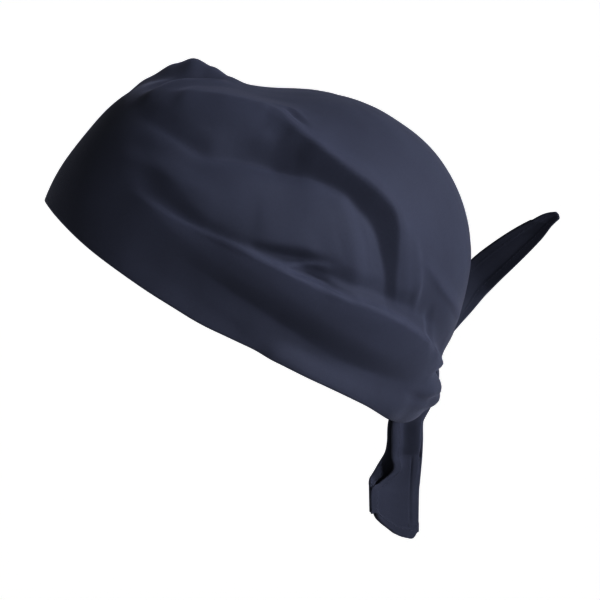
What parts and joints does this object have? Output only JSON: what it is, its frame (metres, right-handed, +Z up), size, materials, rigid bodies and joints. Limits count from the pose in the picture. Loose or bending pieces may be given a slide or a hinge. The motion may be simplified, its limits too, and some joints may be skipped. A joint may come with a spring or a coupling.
{
  "type": "bandana",
  "caption": "Plain navy bandana in its worn form: a hollow cap of folded cloth with a turned-up band, knotted at the nape, with short free ties.",
  "frame": {"origin": "middle of the tilted head opening, where the wearer's head holds the cloth", "axes": "+Z up, -Y the way the wearer looks, +X to the wearer's left; the rim falls from the forehead to the nape"},
  "size_m": [0.1678, 0.2455, 0.2373],
  "materials": {
    "cotton": "matt plain-woven cotton, navy"
  },
  "bodies": {
    "root": {"crown": "cotton", "knot": "cotton", "tie_upper": "cotton", "tie_lower": "cotton"}
  },
  "joints": []
}
